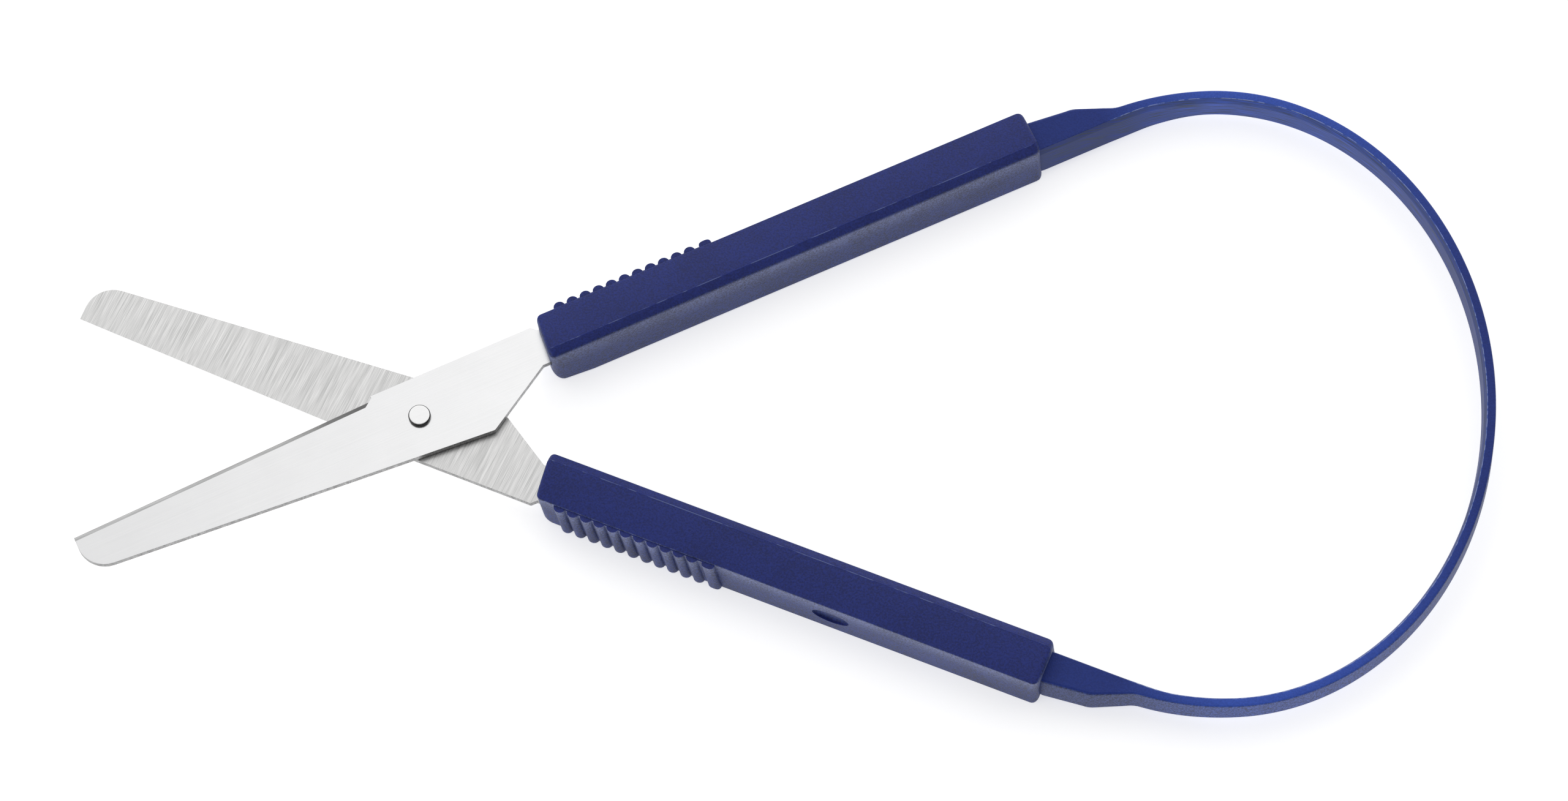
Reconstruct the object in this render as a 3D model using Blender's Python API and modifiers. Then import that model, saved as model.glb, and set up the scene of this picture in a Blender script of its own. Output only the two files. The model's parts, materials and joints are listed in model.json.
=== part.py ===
"""Self-opening loop scissors: two blades on a rivet, two grips and one springy plastic loop.

The scissors lie flat and open. +Z is up, the blades point along -X and the loop along +X, and the
two arms mirror each other across the XZ plane. Each arm is modelled in a frame of its own, with its
origin on the rivet, +X along the grip towards the loop and +Y away from the other arm.
"""

import math

import bmesh
import bpy
from mathutils import Matrix, Vector

MM = 0.001
UPPER = 1
LOWER = -1

# Whole object
OPEN_ANGLE = math.radians(23.0)  # between each arm and the centre line
PIVOT_X = -52.08 * MM  # puts the middle of the length at x = 0
GAP = 0.2 * MM  # clearance between pieces that touch
OVERCUT = 1.0 * MM  # how far a cutter runs past the face it opens

# Blades
BLADE_THICKNESS = 1.1 * MM
MIDDLE_HEIGHT = 4.15 * MM  # plane between the two blades, and middle of the strap
TIP_X = -52.1 * MM
TIP_RADIUS = 4.2 * MM
EDGE_OFFSET = 5.644 * MM  # cutting edge beside the rivet
EDGE_SLOPE = 0.0344  # how the edge closes on the arm's axis towards the tip
SPINE_OFFSET = 5.768 * MM
SPINE_SLOPE = 0.0705
RICASSO = (-5.3 * MM, 5.8 * MM)  # upper corner where the ground edge ends
TANG_TOP = 5.94 * MM
HEEL = (9.05 * MM, -6.41 * MM)  # lower corner behind the rivet
NECK = (19.2 * MM, -0.13 * MM)  # where the heel's slope reaches the grip
SHOULDER = (19.7 * MM, 20.45 * MM)  # start and end of the chamfer on the shoulder
SHOULDER_STEP = 5.2 * MM
STEP_END = 21.8 * MM
TANG_END = 68.0 * MM
TANG_Y = (0.3 * MM, 4.1 * MM)
GRIND_WIDTH = 0.95 * MM  # of the ground bevel, seen from above
GRIND_RUNOUT = 1.3 * MM  # length of the curve that ends the bevel at the ricasso

# Rivet
SHANK_RADIUS = 1.1 * MM
HOLE_RADIUS = 1.18 * MM
HEAD_RADIUS = 1.6 * MM
HEAD_HEIGHT = 0.55 * MM
TAIL_RADIUS = 1.75 * MM
TAIL_HEIGHT = 0.5 * MM
RIVET_GAP = 0.12 * MM  # under the head and the tail

# Grips
GRIP_FRONT = 20.2 * MM
GRIP_REAR = 97.4 * MM
GRIP_OUTER = 6.2 * MM
OUTER_DRAFT = 0.1 * MM  # the outer side leans out by this much at the table
OUTER_HEIGHT = 8.2 * MM
RIDGE = (0.3 * MM, 9.2 * MM)  # highest line of the crowned top
INNER_EDGE = (-0.9 * MM, 8.5 * MM)  # top of the leaning inner side
INNER_FOOT = -1.83 * MM
LEAD_IN_FOOT = -1.4 * MM  # the foot stands back at the front, so that the grips can close
LEAD_IN_END = 26.2 * MM
FRONT_SLANT = 0.6 * MM  # how much further back the front end is on the outer side
END_ROUNDING = 1.2 * MM
RIB_COUNT = 12
RIB_START = 24.6 * MM
RIB_PITCH = 2.04 * MM
RIB_RADIUS = 0.84 * MM
LAST_RIB_X = 47.5 * MM  # the last rib is wider and stands a little apart
LAST_RIB_RADIUS = 0.9 * MM
RIB_INSET = 0.25 * MM  # from the outer side's top and bottom to a rib's ends
RIB_LEAN = 0.8 * MM  # a rib's foot stands this much nearer the loop than its top
DIMPLE_X = 66.0 * MM
DIMPLE_SIZE = (5.6 * MM, 3.4 * MM)
DIMPLE_DEPTH = 0.5 * MM

# Loop
STRAP_WIDTH = 1.65 * MM
STRAP_HEIGHT = 4.8 * MM
ELLIPSE_X = 114.5 * MM  # centre of the half ellipse, from the rivet
ELLIPSE_LONG = 46.1 * MM  # half axis across the scissors
ELLIPSE_SHORT = 38.3 * MM  # half axis along the scissors
NECK_RADIUS = 40.0 * MM  # arc that turns the ellipse onto the arm's direction
LINKS = 7  # rigid lengths that stand for one springy half of the loop
FIRST_HINGE = 3.0 * MM  # along the neck arc, just past the taper
HINGE_GAP = 0.3 * MM
HINGE_RELIEF = 0.17 * MM  # the corners stand this much further back than the middle
APEX_GAP = 0.9 * MM  # between the halves, which cross the centre line a little as they bend
PLUG_END = 85.0 * MM
PLUG_Y = (0.35 * MM, 4.05 * MM)
PLUG_INSET = 0.1 * MM  # the plug's top and bottom stand this much inside the strap's
BLOCK_LOW = 1.2 * MM  # the thick end reaches lower than the strap
BLOCK_INNER = -0.25 * MM
BLOCK_OUTER = (4.9 * MM, 4.2 * MM)  # outer side of the thick end, at the grip and at the taper
TAPER_START = 103.7 * MM


def clear_scene():
    for obj in list(bpy.data.objects):
        bpy.data.objects.remove(obj)


def new_collection(name):
    collection = bpy.data.collections.new(name)
    bpy.context.scene.collection.children.link(collection)
    return collection


def material(name, color, roughness, metallic):
    made = bpy.data.materials.new(name)
    made.use_nodes = True
    shader = made.node_tree.nodes["Principled BSDF"]
    shader.inputs["Base Color"].default_value = (*color, 1.0)
    shader.inputs["Roughness"].default_value = roughness
    shader.inputs["Metallic"].default_value = metallic
    made.diffuse_color = (*color, 1.0)
    return made


def rounded(corners, steps=5):
    """The outline through corners (x, y, radius), with an arc at each corner that has a radius."""
    points = []
    for index, (x, y, radius) in enumerate(corners):
        corner = Vector((x, y))
        if radius == 0:
            points.append(corner)
            continue
        before = (Vector(corners[index - 1][:2]) - corner).normalized()
        after = (Vector(corners[(index + 1) % len(corners)][:2]) - corner).normalized()
        half = before.angle(after) / 2
        centre = corner + (before + after).normalized() * (radius / math.sin(half))
        first = corner + before * (radius / math.tan(half)) - centre
        turn = first.angle_signed(corner + after * (radius / math.tan(half)) - centre)
        for step in range(steps + 1):
            points.append(centre + Matrix.Rotation(-turn * step / steps, 2) @ first)
    return points


def plate(name, outline, low, high):
    """A flat outline, filled and given thickness from low to high."""
    curve = bpy.data.curves.new(name, "CURVE")
    curve.dimensions = "2D"
    curve.fill_mode = "BOTH"
    curve.extrude = (high - low) / 2
    spline = curve.splines.new("POLY")
    spline.points.add(len(outline) - 1)
    for point, (x, y) in zip(spline.points, outline):
        point.co = (x, y, 0, 1)
    spline.use_cyclic_u = True
    source = bpy.data.objects.new(name + "_outline", curve)
    bpy.context.scene.collection.objects.link(source)
    bpy.context.view_layer.update()
    graph = bpy.context.evaluated_depsgraph_get()
    mesh = bpy.data.meshes.new_from_object(source.evaluated_get(graph))
    bpy.data.objects.remove(source)
    mesh.transform(Matrix.Translation((0, 0, (low + high) / 2)))
    weld(mesh)
    mesh.name = name
    return bpy.data.objects.new(name, mesh)


def weld(mesh):
    shape = bmesh.new()
    shape.from_mesh(mesh)
    bmesh.ops.remove_doubles(shape, verts=shape.verts, dist=0.001 * MM)
    bmesh.ops.recalc_face_normals(shape, faces=shape.faces)
    shape.to_mesh(mesh)
    shape.free()


def box(name, low, high):
    """A box between two corners, which may be given in any order."""
    centre = (Vector(low) + Vector(high)) / 2
    size = [abs(b - a) for a, b in zip(low, high)]
    mesh = bpy.data.meshes.new(name)
    shape = bmesh.new()
    bmesh.ops.create_cube(shape, size=1.0)
    bmesh.ops.scale(shape, vec=size, verts=shape.verts)
    bmesh.ops.translate(shape, vec=centre, verts=shape.verts)
    shape.to_mesh(mesh)
    shape.free()
    return bpy.data.objects.new(name, mesh)


def cylinders(name, posts, low, high, segments=16):
    """Upright cylinders, one for each (x, y, radius), in one mesh."""
    mesh = bpy.data.meshes.new(name)
    shape = bmesh.new()
    for x, y, radius in posts:
        place = Matrix.Translation((x, y, (low + high) / 2))
        bmesh.ops.create_cone(
            shape, cap_ends=True, segments=segments, radius1=radius, radius2=radius,
            depth=high - low, matrix=place,
        )
    shape.to_mesh(mesh)
    shape.free()
    return bpy.data.objects.new(name, mesh)


def smooth(obj, angle=30.0):
    obj.data.shade_smooth()
    obj.data.set_sharp_from_angle(angle=math.radians(angle))


class Builder:
    """Puts parts and cutters in their collections and on their arms."""

    def __init__(self):
        self.parts = new_collection("loop_scissors")
        self.helpers = new_collection("cutters")
        self.arms = {}
        for side, name in ((UPPER, "upper_arm"), (LOWER, "lower_arm")):
            arm = bpy.data.objects.new(name, None)
            arm.location = (PIVOT_X, 0, 0)
            arm.rotation_euler = (0, 0, side * OPEN_ANGLE)
            arm.empty_display_size = 10 * MM
            self.parts.objects.link(arm)
            self.arms[side] = arm

    def add(self, obj, parent, surface):
        obj.parent = parent
        obj.data.materials.append(surface)
        self.parts.objects.link(obj)
        smooth(obj)
        return obj

    def modify(self, obj, tool, operation):
        """Joins a helper to a part, or cuts it from the part."""
        tool.parent = obj.parent
        tool.location = obj.location
        tool.hide_render = True
        tool.display_type = "WIRE"
        self.helpers.objects.link(tool)
        step = obj.modifiers.new(tool.name, "BOOLEAN")
        step.operation = operation
        step.object = tool
        step.solver = "EXACT"


def blade_heights(side):
    """The upper arm's blade lies on the lower arm's blade."""
    mating = MIDDLE_HEIGHT + side * GAP / 2
    outer = mating + side * BLADE_THICKNESS
    return min(mating, outer), max(mating, outer)


def edge_y(x):
    return EDGE_OFFSET + EDGE_SLOPE * x


def spine_y(x):
    return -SPINE_OFFSET - SPINE_SLOPE * x


def blade_outline(side):
    """Tip, spine, heel, tang and cutting edge, in the arm's frame."""
    corners = [
        (TIP_X, edge_y(TIP_X), 0),
        (TIP_X, spine_y(TIP_X), TIP_RADIUS),
        (*HEEL, 0.5 * MM),
        (*NECK, 0),
        (STEP_END, NECK[1], 0),
        (STEP_END, TANG_Y[0], 0),
        (TANG_END, TANG_Y[0], 0),
        (TANG_END, TANG_Y[1], 0),
        (STEP_END, TANG_Y[1], 0),
        (STEP_END, SHOULDER_STEP, 0),
        (SHOULDER[1], SHOULDER_STEP, 0),
        (SHOULDER[0], TANG_TOP, 0),
        (*RICASSO, 0),
        (RICASSO[0], edge_y(RICASSO[0]), 0),
    ]
    return [(x, side * y) for x, y in rounded(corners, steps=8)]


def grind_cutter(name, side):
    """Takes the sloped bevel off the blade's outer face, from the tip to a curved end."""
    start = TIP_X - OVERCUT
    end = RICASSO[0]
    inner = -2 * GRIND_WIDTH
    corners = [
        (start, OVERCUT, 0),
        (start, inner, 0),
        (end - 2 * GRIND_RUNOUT, inner, 0),
        (end - GRIND_RUNOUT, -GRIND_WIDTH, GRIND_RUNOUT / 2),
        (end, 0, 0),
        (end, OVERCUT, 0),
    ]
    outline = [(x - start, side * y) for x, y in rounded(corners)]
    cutter = plate(name, outline, 0, 2 * BLADE_THICKNESS)
    if side == LOWER:
        cutter.data.transform(Matrix.Translation((0, 0, -2 * BLADE_THICKNESS)))
    slope = Matrix.Identity(4)
    slope[2][1] = -BLADE_THICKNESS / GRIND_WIDTH
    along_edge = Matrix.Rotation(side * math.atan(EDGE_SLOPE), 4, "Z")
    mating = MIDDLE_HEIGHT + side * GAP / 2
    place = Matrix.Translation((start, side * edge_y(start), mating))
    cutter.data.transform(place @ along_edge @ slope)
    return cutter


def add_blade(builder, name, side, steel):
    low, high = blade_heights(side)
    blade = plate(name, blade_outline(side), low, high)
    builder.add(blade, builder.arms[side], steel)
    builder.modify(blade, grind_cutter(name + "_grind", side), "DIFFERENCE")
    hole = cylinders(name + "_hole", [(0, 0, HOLE_RADIUS)], low - OVERCUT, high + OVERCUT, 48)
    builder.modify(blade, hole, "DIFFERENCE")


def add_rivet(builder, steel):
    """A turned rivet: flat head on the upper blade, shank, and a domed tail under the lower one."""
    tail_top = blade_heights(LOWER)[0] - RIVET_GAP
    head_base = blade_heights(UPPER)[1] + RIVET_GAP
    head_edge = 0.12 * MM
    profile = [
        (0, head_base + HEAD_HEIGHT),
        (HEAD_RADIUS - head_edge, head_base + HEAD_HEIGHT),
        (HEAD_RADIUS, head_base + HEAD_HEIGHT - head_edge),
        (HEAD_RADIUS, head_base),
        (SHANK_RADIUS, head_base),
        (SHANK_RADIUS, tail_top),
        (TAIL_RADIUS, tail_top),
    ]
    dome_steps = 4
    for step in range(1, dome_steps + 1):
        turn = math.radians(90 * step / dome_steps)
        profile.append((TAIL_RADIUS * math.cos(turn), tail_top - TAIL_HEIGHT * math.sin(turn)))
    mesh = bpy.data.meshes.new("pivot_rivet")
    vertices = [(x, 0, z) for x, z in profile]
    mesh.from_pydata(vertices, [(i, i + 1) for i in range(len(profile) - 1)], [])
    rivet = bpy.data.objects.new("pivot_rivet", mesh)
    turned = rivet.modifiers.new("turned", "SCREW")
    turned.steps = 48
    turned.render_steps = 48
    turned.use_merge_vertices = True
    turned.merge_threshold = 0.001 * MM
    builder.add(rivet, builder.arms[UPPER], steel)


def grip_section(x, inset):
    """Seen along the arm: upright outer side, crowned top with a ridge, and a leaning inner side."""
    lead_in = min(1, (x - GRIP_FRONT) / (LEAD_IN_END - GRIP_FRONT))
    foot = LEAD_IN_FOOT + (INNER_FOOT - LEAD_IN_FOOT) * lead_in
    corners = [
        (GRIP_OUTER + OUTER_DRAFT - inset, inset, 0.4 * MM),
        (GRIP_OUTER - inset, OUTER_HEIGHT - inset, 0.35 * MM),
        (RIDGE[0], RIDGE[1] - inset, 0.9 * MM),
        (INNER_EDGE[0] + inset, INNER_EDGE[1] - inset, 0.4 * MM),
        (foot + inset, inset, 0.8 * MM),
    ]
    return rounded(corners, steps=4)


def grip_body(name, side):
    """The grip's section drawn out along the arm, with rounded ends and a slanted front."""
    steps = 4
    turns = [math.radians(90 * step / steps) for step in range(steps + 1)]
    insets = [END_ROUNDING * (1 - math.sin(turn)) for turn in turns]
    runs = [END_ROUNDING * (1 - math.cos(turn)) for turn in turns]
    places = [(GRIP_FRONT + run, inset, FRONT_SLANT) for run, inset in zip(runs, insets)]
    places.append((LEAD_IN_END, 0, 0))
    places += [(GRIP_REAR - run, inset, 0) for run, inset in zip(reversed(runs), reversed(insets))]
    mesh = bpy.data.meshes.new(name)
    shape = bmesh.new()
    rings = []
    for x, inset, slant in places:
        ring = []
        for y, z in grip_section(x, inset):
            back = slant * (y - INNER_FOOT) / (GRIP_OUTER - INNER_FOOT)
            ring.append(shape.verts.new((x + back, side * y, z)))
        rings.append(ring)
    for ring, after in zip(rings, rings[1:]):
        for i in range(len(ring)):
            shape.faces.new((ring[i - 1], ring[i], after[i], after[i - 1]))
    shape.faces.new(rings[0])
    shape.faces.new(rings[-1])
    bmesh.ops.recalc_face_normals(shape, faces=shape.faces)
    shape.to_mesh(mesh)
    shape.free()
    return bpy.data.objects.new(name, mesh)


def rib_row(name, side):
    """The ribs: round posts half sunk in the outer side, with their feet nearer the loop."""
    posts = []
    for rib in range(RIB_COUNT - 1):
        posts.append((RIB_START + rib * RIB_PITCH, side * GRIP_OUTER, RIB_RADIUS))
    posts.append((LAST_RIB_X, side * GRIP_OUTER, LAST_RIB_RADIUS))
    ribs = cylinders(name, posts, RIB_INSET, OUTER_HEIGHT - RIB_INSET)
    lean = Matrix.Translation((RIB_LEAN, 0, 0))
    lean[0][2] = -RIB_LEAN / OUTER_HEIGHT
    ribs.data.transform(lean)
    return ribs


def dimple_cutter(name, side):
    """A shallow oval pit in the outer side."""
    dimple = cylinders(name, [(0, 0, 0.5)], -DIMPLE_DEPTH, DIMPLE_DEPTH, 24)
    dimple.data.transform(Matrix.Diagonal((*DIMPLE_SIZE, 1, 1)))
    dimple.data.transform(Matrix.Rotation(math.pi / 2, 4, "X"))
    dimple.data.transform(Matrix.Translation((DIMPLE_X, side * GRIP_OUTER, MIDDLE_HEIGHT)))
    return dimple


def add_grip(builder, name, side, plastic):
    grip = grip_body(name, side)
    builder.add(grip, builder.arms[side], plastic)
    builder.modify(grip, rib_row(name + "_ribs", side), "UNION")
    builder.modify(grip, dimple_cutter(name + "_dimple", side), "DIFFERENCE")
    low, high = blade_heights(side)
    mouth = box(
        name + "_mouth",
        (GRIP_FRONT - OVERCUT, side * (NECK[1] - GAP), low - GAP),
        (STEP_END + GAP, side * (SHOULDER_STEP + GAP), high + GAP),
    )
    builder.modify(grip, mouth, "DIFFERENCE")
    slot = box(
        name + "_slot",
        (GRIP_FRONT, side * (TANG_Y[0] - GAP), low - GAP),
        (TANG_END + GAP, side * (TANG_Y[1] + GAP), high + GAP),
    )
    builder.modify(grip, slot, "DIFFERENCE")
    low, high = strap_heights()
    socket = box(
        name + "_socket",
        (PLUG_END - GAP, side * (PLUG_Y[0] - GAP), low - GAP),
        (GRIP_REAR + OVERCUT, side * (PLUG_Y[1] + GAP), high + GAP),
    )
    builder.modify(grip, socket, "DIFFERENCE")


def strap_heights():
    return MIDDLE_HEIGHT - STRAP_HEIGHT / 2, MIDDLE_HEIGHT + STRAP_HEIGHT / 2


def neck_point(turn):
    """On the neck arc, where the strap's direction makes this angle with the centre line."""
    return Vector((
        ELLIPSE_X - NECK_RADIUS * math.sin(turn),
        ELLIPSE_LONG - NECK_RADIUS * (1 - math.cos(turn)),
    ))


def strap_point(place):
    """Point and direction of the strap's middle line, upper half, from the rivet.

    Place 0 is the first hinge, 1 the widest point, where the neck arc meets the ellipse, and LINKS
    the loop's apex.
    """
    first_turn = OPEN_ANGLE - FIRST_HINGE / NECK_RADIUS
    if place <= 1:
        turn = first_turn * (1 - place)
        return neck_point(turn), Vector((math.cos(turn), math.sin(turn)))
    turn = math.pi / 2 * (place - 1) / (LINKS - 1)
    point = Vector((ELLIPSE_X + ELLIPSE_SHORT * math.sin(turn), ELLIPSE_LONG * math.cos(turn)))
    along = Vector((ELLIPSE_SHORT * math.cos(turn), -ELLIPSE_LONG * math.sin(turn)))
    return point, along.normalized()


def strap_edge(place, offset, along=0.0):
    """A point on the strap's outer (+) or inner (-) edge, moved along the strap if asked."""
    point, direction = strap_point(place)
    outward = Vector((-direction.y, direction.x))
    return point + outward * offset + direction * along


def hinge_end(place, before):
    """The pointed end of a rigid length at a hinge: outer corner, middle and inner corner."""
    sign = -1 if before else 1
    half = STRAP_WIDTH / 2
    corner = HINGE_GAP / 2 + HINGE_RELIEF
    return [
        strap_edge(place, half, sign * corner),
        strap_edge(place, 0, sign * HINGE_GAP / 2),
        strap_edge(place, -half, sign * corner),
    ]


def link_outline(index):
    """One rigid length of the upper half, between two hinges or up to the apex."""
    steps = 6
    inside = [index + step / steps for step in range(1, steps)]
    outline = hinge_end(index, before=False)[::-1]
    outline += [strap_edge(place, STRAP_WIDTH / 2) for place in inside]
    if index == LINKS - 1:
        flat = -APEX_GAP / 2
        outline += [strap_edge(LINKS, STRAP_WIDTH / 2, flat), strap_edge(LINKS, -STRAP_WIDTH / 2, flat)]
    else:
        outline += hinge_end(index + 1, before=True)
    outline += [strap_edge(place, -STRAP_WIDTH / 2) for place in reversed(inside)]
    return outline


def add_loop_end(builder, name, side, plastic):
    """The loop's thick end: a block behind the grip, its taper to the strap and a plug in the grip."""
    to_arm = Matrix.Rotation(-OPEN_ANGLE, 2)
    outer, middle, inner = (to_arm @ point for point in hinge_end(0, before=True))
    front = GRIP_REAR + GAP
    block_corners = [
        (front, BLOCK_INNER, 0),
        (*inner, 0),
        (*middle, 0),
        (*outer, 0),
        (TAPER_START, BLOCK_OUTER[1], 6.0 * MM),
        (front, BLOCK_OUTER[0], 0),
    ]
    plug_corners = [
        (PLUG_END, PLUG_Y[0], 0.4 * MM),
        (front + OVERCUT, PLUG_Y[0], 0),
        (front + OVERCUT, PLUG_Y[1], 0),
        (PLUG_END, PLUG_Y[1], 0.4 * MM),
    ]
    low, high = strap_heights()
    outline = [(x, side * y) for x, y in rounded(block_corners, steps=6)]
    block = plate(name, outline, BLOCK_LOW, high)
    builder.add(block, builder.arms[side], plastic)
    outline = [(x, side * y) for x, y in rounded(plug_corners)]
    plug = plate(name + "_plug", outline, low + PLUG_INSET, high - PLUG_INSET)
    builder.modify(block, plug, "UNION")


def add_links(builder, name, side, plastic):
    """The springy half of the loop, as rigid lengths that each turn about the hinge they start at."""
    parent = None
    parent_place = Vector((0, 0))
    for index in range(LINKS):
        hinge, _ = strap_point(index)
        outline = [(x, side * y) for x, y in (point - hinge for point in link_outline(index))]
        link = plate(f"{name}_{index + 1}", outline, *strap_heights())
        step = hinge - parent_place
        link.location = (step.x + (PIVOT_X if parent is None else 0), side * step.y, 0)
        builder.add(link, parent, plastic)
        parent = link
        parent_place = hinge


def main():
    clear_scene()
    builder = Builder()
    polished = material("polished_steel", (0.86, 0.86, 0.87), 0.12, 1.0)
    brushed = material("brushed_steel", (0.66, 0.65, 0.63), 0.35, 1.0)
    bright = material("bright_steel", (0.9, 0.9, 0.9), 0.08, 1.0)
    navy = material("navy_grip_plastic", (0.035, 0.04, 0.17), 0.55, 0.0)
    blue = material("blue_loop_plastic", (0.04, 0.07, 0.33), 0.45, 0.0)
    add_blade(builder, "front_blade", UPPER, polished)
    add_blade(builder, "back_blade", LOWER, brushed)
    add_rivet(builder, bright)
    add_grip(builder, "upper_grip", UPPER, navy)
    add_grip(builder, "lower_grip", LOWER, navy)
    add_loop_end(builder, "upper_loop_end", UPPER, blue)
    add_loop_end(builder, "lower_loop_end", LOWER, blue)
    add_links(builder, "upper_loop", UPPER, blue)
    add_links(builder, "lower_loop", LOWER, blue)


main()
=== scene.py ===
"""Looks of the self-opening loop scissors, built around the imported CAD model.

Every piece is made in the row frame, in metres. Each arm has a frame of its own: origin on the rivet,
+X along the grip towards the loop, +Y away from the other arm. The strap is described by the distance
along its middle line, which starts at 0 where the straight thick end turns into the neck.
"""

import json
import math

import bmesh
import bpy
from mathutils import Euler, Matrix, Vector


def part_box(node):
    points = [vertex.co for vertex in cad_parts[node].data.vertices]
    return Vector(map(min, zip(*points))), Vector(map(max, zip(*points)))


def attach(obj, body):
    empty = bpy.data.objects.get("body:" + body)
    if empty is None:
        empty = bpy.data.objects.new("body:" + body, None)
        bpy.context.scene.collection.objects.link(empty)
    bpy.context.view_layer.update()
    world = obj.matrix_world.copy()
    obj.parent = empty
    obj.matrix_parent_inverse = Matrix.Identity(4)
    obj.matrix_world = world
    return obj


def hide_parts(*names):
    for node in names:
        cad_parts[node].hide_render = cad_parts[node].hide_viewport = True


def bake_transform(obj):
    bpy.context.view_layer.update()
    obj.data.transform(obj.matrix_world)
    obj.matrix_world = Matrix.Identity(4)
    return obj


MM = 0.001
UPPER = 1
LOWER = -1
SIDES = {"upper": UPPER, "lower": LOWER}
ARM_BODY = {UPPER: "front_arm", LOWER: "back_arm"}

OPEN_ANGLE = math.radians(23.0)

# Blades and rivet
WELD = 0.002 * MM  # vertices nearer to each other than this are one
EDGE_BREAK = 0.06 * MM  # width of the broken edges of the blades
BEVEL_AREA = 20 * MM * MM  # only the ground bevel is a slanting face larger than this
RIVET_HEAD = 1.6 * MM
RIVET_SHANK = 1.1 * MM
RIVET_TAIL = 1.75 * MM
RIVET_BREAK = 0.22 * MM  # radius of the head's edge
RIVET_GAP = 0.05 * MM  # between the rivet's head or tail and the blade beside it

# Grips
GRIP_FRONT = 20.2 * MM
GRIP_REAR = 97.4 * MM
GRIP_MIDDLE = (2.5 * MM, 4.3 * MM)  # across the grip and up, where the end rounding shrinks to
OUTER_FOOT = 6.32 * MM
OUTER_TOP = 6.15 * MM
OUTER_HEIGHT = 8.2 * MM
RIDGE_Y = 0.3 * MM
INNER_EDGE = (-0.9 * MM, 8.5 * MM)
INNER_BULGE = 0.03 * MM  # how far the top bulges between the ridge and the inner edge
CROWN_SLOPE = 0.35  # the crown's slope beside the ridge, as a share of its mean slope
INNER_FOOT = -1.85 * MM
LEAD_IN_FOOT = -1.42 * MM  # the foot stands back at the front, so that the grips can close
LEAD_IN_END = 26.2 * MM
OUTER_FOOT_RADIUS = 0.08 * MM
OUTER_TOP_RADIUS = 0.2 * MM
INNER_EDGE_RADIUS = 0.45 * MM
INNER_FOOT_RADIUS = 0.5 * MM
END_ZONE = 2.6 * MM  # the length of each rounded end
FRONT_ROUND_OUTER = (1.0 * MM, 1.4 * MM)  # radius at the top, and how much more at the foot
FRONT_ROUND_INNER = (0.9 * MM, 0.8 * MM)
REAR_ROUND = 1.0 * MM
TOP_ROUND = (0.6 * MM, 0.5 * MM)  # front and rear
FOOT_ROUND = (1.8 * MM, 1.1 * MM)
FRONT_SLANT = 0.6 * MM
SLANT_END = 3.0 * MM
SEAM_HEIGHT = 0.03 * MM
SEAM_WIDTH = 0.12 * MM
SEAM_SINK = 0.02 * MM
RIB_COUNT = 12
RIB_START = 24.6 * MM
RIB_PITCH = 2.04 * MM
RIB_RADIUS = 0.86 * MM
RIB_HEIGHT = 0.8 * MM
RIB_VALLEY = 0.15 * MM  # the floor between two ribs stands this proud
RIB_LEAN = 0.8 * MM  # the ribs' feet stand this much nearer the loop than their tops
LEAN_START = 21.2 * MM  # the lean fades in between here and the first rib
LEAN_END = 51.5 * MM
LEAN_RUN_OUT = 3.0 * MM  # and fades out over this length
RIB_TOP = 7.92 * MM
RIB_LOW = 0.12 * MM
RIB_FOOT_RADIUS = 0.25 * MM
LAST_RIB_X = 47.5 * MM
LAST_RIB_RADIUS = 0.95 * MM
DIMPLE_X = 66.0 * MM
DIMPLE_SIZE = (5.6 * MM, 3.4 * MM)
DIMPLE_DEPTH = 0.5 * MM
TANG_GAP = 0.2 * MM  # room round the tang in its slot, and over and under the loop's plug
TANG_Y = (-0.13 * MM, 4.1 * MM)
SHOULDER_Y = 5.2 * MM
SHOULDER_END = 21.8 * MM
TANG_END = 68.0 * MM
SOCKET_START = 84.8 * MM
SOCKET_Y = (0.15 * MM, 4.25 * MM)

# Loop
STRAP_HALF = 0.825 * MM
ELLIPSE_X = 114.5 * MM
ELLIPSE_LONG = 46.1 * MM
ELLIPSE_SHORT = 38.3 * MM
NECK_RADIUS = 40.0 * MM
BLOCK_EXTRA = (3.1 * MM, 2.5 * MM)  # how proud the thick end stands, at the grip and at the taper
BLOCK_DRAFT = 0.3 * MM  # the thick end's outer side leans out by this much at the bottom
BLOCK_LOW = 1.2 * MM  # height of the thick end's underside
LOW_FADE = (4 * MM, 18 * MM)  # where along the strap its underside rises to the rest of the strap's
BLOCK_INNER_EXTRA = 0.33 * MM  # how proud the thick end stands on the inner side
INNER_FADE = (1 * MM, 8 * MM)
INNER_LEAN = 0.6 * MM  # the inner side leans in by this much more at the bottom near the grip
LEAN_FADE = (3 * MM, 16 * MM)
TAPER = (-4.2 * MM, 3.3 * MM)  # start and end of the taper along the strap
TAPER_BLEND = 0.22  # the share of the taper over which each of its ends is rounded
TAPER_FINE = 6.3 * MM  # sections stand closer together over this much of the taper
PLUG_START = -22.8 * MM
PLUG_END = -10.0 * MM
PLUG_STEP = 0.45 * MM  # the plug narrows by this much on each side towards its inner end
STRAP_EXTRA = 0.08 * MM  # the strap is this much thicker than in the CAD model, on the inner side
STRAP_DRAFT = 0.1 * MM  # both sides lean out by this much at the bottom
EDGE_BEVEL = (0.4 * MM, 1.1 * MM)  # width and drop of the bevel along the inner top edge
EDGE_HIGHLIGHT_START = 1.0 * MM  # where the painted highlight along the bevel's top edge begins
STRAP_FOOT_RADIUS = 0.3 * MM
STRAP_TOP_RADIUS = 0.3 * MM
BLOCK_TOP_RADIUS = 0.5 * MM
EDGE_LINE_RADIUS = 0.1 * MM
BEVEL_RADIUS = 0.3 * MM
INNER_FOOT_ROUND = 0.15 * MM
LOWER_UV_SHIFT = 0.05  # metres, so that the two halves of the strap have different streaks

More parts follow.
